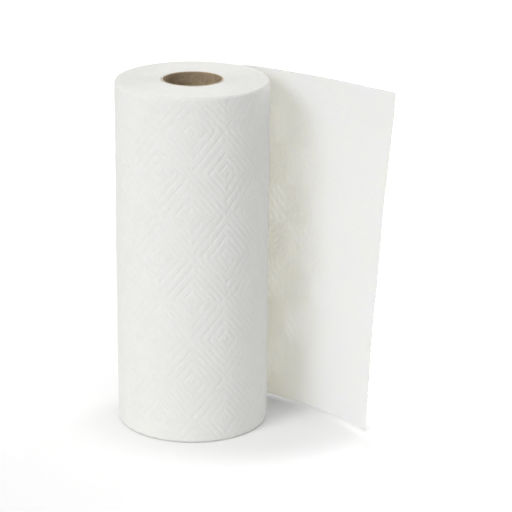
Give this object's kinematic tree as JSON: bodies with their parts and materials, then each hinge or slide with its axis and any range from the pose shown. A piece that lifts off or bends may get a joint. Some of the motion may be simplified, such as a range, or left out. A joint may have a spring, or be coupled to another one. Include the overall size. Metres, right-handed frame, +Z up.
{
  "type": "paper towel roll",
  "caption": "Roll of white embossed paper towel on a brown cardboard tube, standing on one end with a sheet partly unrolled.",
  "frame": {"origin": "on the roll's axis, in the plane of the end that it stands on", "axes": "+Z up along the axis of the cardboard tube; +X towards the side that the loose sheet reaches out to; +Y away from the side that the sheet comes forward on"},
  "size_m": [0.2132, 0.121, 0.2794],
  "materials": {
    "towel_paper": "matt, embossed and absorbent",
    "core_board": "matt, spiral-wound brown board"
  },
  "bodies": {
    "root": {"core_tube": "core_board", "towel_web": "towel_paper"}
  },
  "joints": []
}
